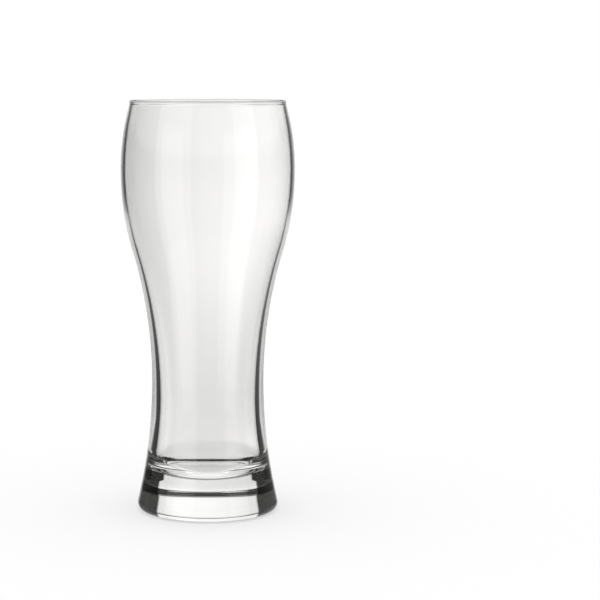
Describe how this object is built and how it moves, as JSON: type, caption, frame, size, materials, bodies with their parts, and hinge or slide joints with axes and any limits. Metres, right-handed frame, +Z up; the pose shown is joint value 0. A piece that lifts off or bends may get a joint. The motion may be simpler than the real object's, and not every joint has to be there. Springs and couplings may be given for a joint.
{
  "type": "beer glass",
  "caption": "Tall waisted drinking glass with a swelling mouth, a thin drawn bowl and a thick solid glass foot.",
  "frame": {"origin": "on the axis of the glass, at the table it stands on", "axes": "+Z up along the axis of the glass, out of its mouth; X and Y lie in the table, and the glass is the same all round"},
  "size_m": [0.0844, 0.0844, 0.2],
  "materials": {
    "bowl_glass": "clear, fire-polished, very faintly grey soda-lime glass",
    "base_glass": "clear, thick pressed soda-lime glass, polished"
  },
  "bodies": {
    "root": {"bowl": "bowl_glass", "base": "base_glass"}
  },
  "joints": []
}
